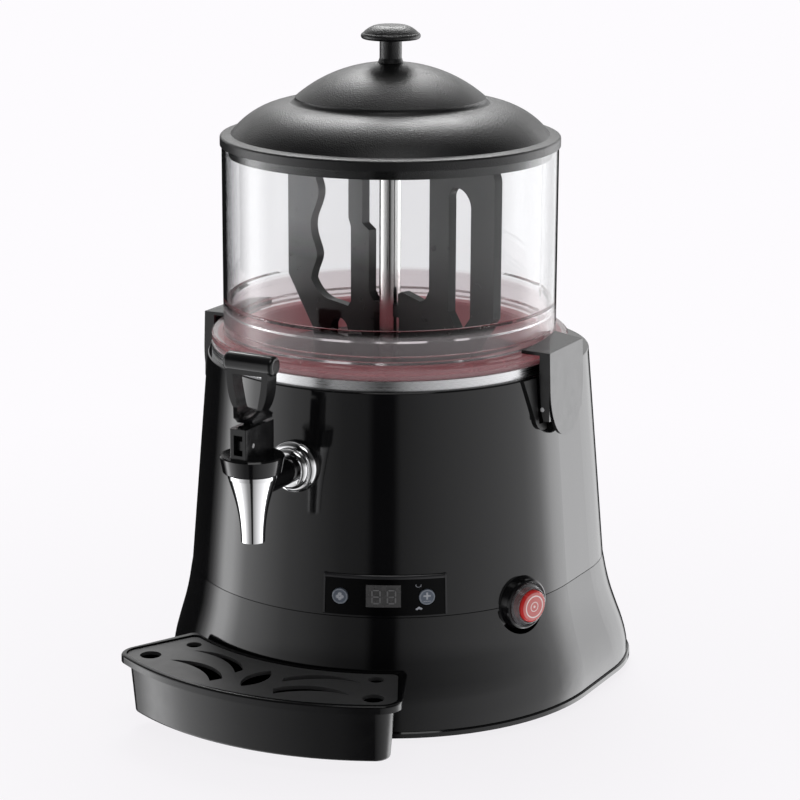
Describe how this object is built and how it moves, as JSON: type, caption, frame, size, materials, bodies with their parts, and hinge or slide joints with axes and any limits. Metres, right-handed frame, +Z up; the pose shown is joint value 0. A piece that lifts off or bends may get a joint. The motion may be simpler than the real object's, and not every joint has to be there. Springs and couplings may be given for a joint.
{
  "type": "heated drink dispenser",
  "caption": "Countertop heated drink dispenser: clear bowl with agitator on a black moulded body, lever tap and lift-out drip tray.",
  "frame": {"origin": "on the counter under the bowl's axis, at the underside of the feet", "axes": "+Z up along the bowl's axis, front (tap and drip tray) towards -Y, power switch on the +X flank"},
  "size_m": [0.3148, 0.3854, 0.465],
  "materials": {
    "black_gloss": "high gloss moulded plastic",
    "black_satin": "satin, fine leather grain",
    "black_matte": "matte moulded plastic",
    "clear_bowl": "clear polycarbonate",
    "stainless": "brushed stainless sheet",
    "chrome": "polished chrome plating",
    "steel_hardware": "bright steel pins and screws",
    "red_silicone": "soft red silicone",
    "foot_rubber": "black rubber",
    "motor_paint": "dark grey enamel",
    "zinc_sheet": "zinc plated sheet",
    "circuit_board": "green solder mask",
    "brass_bush": "sintered bronze",
    "panel_black": "glossy membrane panel",
    "display_smoke": "smoked display window",
    "lamp_white": "small translucent indicator",
    "button_blue_grey": "metallic blue grey",
    "switch_red": "red illuminated button under a clear cap"
  },
  "bodies": {
    "machine": {"base_plate": "black_gloss", "feet": "foot_rubber", "foot_screws": "steel_hardware", "lower_skirt": "black_gloss", "upper_housing": "black_gloss", "seam_ring": "black_matte", "product_pan": "stainless", "standpipe": "stainless", "shaft_bushes": "brass_bush", "water_tank": "stainless", "heating_element": "steel_hardware", "tank_bush": "black_matte", "thermostat": "steel_hardware", "tank_posts": "zinc_sheet", "bowl": "clear_bowl", "bowl_gasket": "red_silicone", "gearmotor": "motor_paint", "motor_bracket": "zinc_sheet", "bracket_screws": "steel_hardware", "power_board": "circuit_board", "terminal_block": "black_matte", "panel_fascia": "panel_black", "display_window": "display_smoke", "status_lamps": "lamp_white", "control_board": "circuit_board", "switch_bezel": "black_satin", "cord_inlet": "black_matte", "drain_plug": "black_matte", "tap_spout": "chrome", "tap_cap_ring": "black_gloss", "tap_barrel": "black_gloss", "tap_flange": "chrome", "outlet_pipe": "stainless", "tap_nut": "zinc_sheet", "tap_bonnet": "black_satin", "lever_pin": "steel_hardware", "latch_bracket_right": "black_satin", "latch_bracket_left": "black_satin", "latch_pin_right": "steel_hardware", "latch_pin_left": "steel_hardware"},
    "lid": {"lid": "black_satin", "lid_knob": "black_satin", "knob_screw": "steel_hardware"},
    "agitator": {"agitator": "black_matte", "drive_shaft": "steel_hardware", "drive_coupling": "steel_hardware"},
    "tap_lever": {"tap_lever": "black_satin"},
    "tap_stem": {"tap_stem": "steel_hardware", "seat_cup": "red_silicone"},
    "latch_right": {"latch_right": "black_satin"},
    "latch_left": {"latch_left": "black_satin"},
    "drip_tray": {"drip_tray": "black_gloss"},
    "drip_grid": {"drip_grid": "black_gloss"},
    "power_button": {"power_button": "switch_red"},
    "button_set": {"button_set": "button_blue_grey"},
    "button_plus": {"button_plus": "button_blue_grey"}
  },
  "joints": [
    {"name": "lid_lift", "type": "slide", "parent": "machine", "child": "lid", "axis": [0, 0, 1], "range_m": [0, 0.08]},
    {"name": "agitator_spin", "type": "hinge", "parent": "machine", "child": "agitator", "pos_m": [0, 0, 0], "axis": [0, 0, 1], "continuous": true},
    {"name": "lever_pull", "type": "hinge", "parent": "machine", "child": "tap_lever", "pos_m": [0, -0.197, 0.214], "axis": [1, 0, 0], "range_deg": [0, 30], "stiffness_Nm_per_rad": 0.8, "springref_deg": -14.32},
    {"name": "stem_lift", "type": "slide", "parent": "machine", "child": "tap_stem", "axis": [0, 0, 1], "range_m": [0, 0.005]},
    {"name": "latch_right_release", "type": "hinge", "parent": "machine", "child": "latch_right", "pos_m": [0.132, 0, 0.215], "axis": [0, 1, 0], "range_deg": [0, 10.5], "stiffness_Nm_per_rad": 0.5, "springref_deg": -14.32},
    {"name": "latch_left_release", "type": "hinge", "parent": "machine", "child": "latch_left", "pos_m": [-0.132, 0, 0.215], "axis": [0, -1, 0], "range_deg": [0, 10.5], "stiffness_Nm_per_rad": 0.5, "springref_deg": -14.32},
    {"name": "tray_slide", "type": "slide", "parent": "machine", "child": "drip_tray", "axis": [0, -1, 0], "range_m": [0, 0.09]},
    {"name": "grid_lift", "type": "slide", "parent": "drip_tray", "child": "drip_grid", "axis": [0, 0, 1], "range_m": [0, 0.04]},
    {"name": "power_press", "type": "slide", "parent": "machine", "child": "power_button", "axis": [-0.9298, 0.3681, 0], "range_m": [0, 0.003], "stiffness_N_per_m": 600, "springref_m": -0.002},
    {"name": "set_press", "type": "slide", "parent": "machine", "child": "button_set", "axis": [-0.2571, 0.9664, 0], "range_m": [0, 0.0012], "stiffness_N_per_m": 500, "springref_m": -0.001},
    {"name": "plus_press", "type": "slide", "parent": "machine", "child": "button_plus", "axis": [-0.6252, 0.7804, 0], "range_m": [0, 0.0012], "stiffness_N_per_m": 500, "springref_m": -0.001}
  ],
  "couplings": [
    {"joint": "stem_lift", "follows": "lever_pull", "m_per_rad": 0.009}
  ]
}
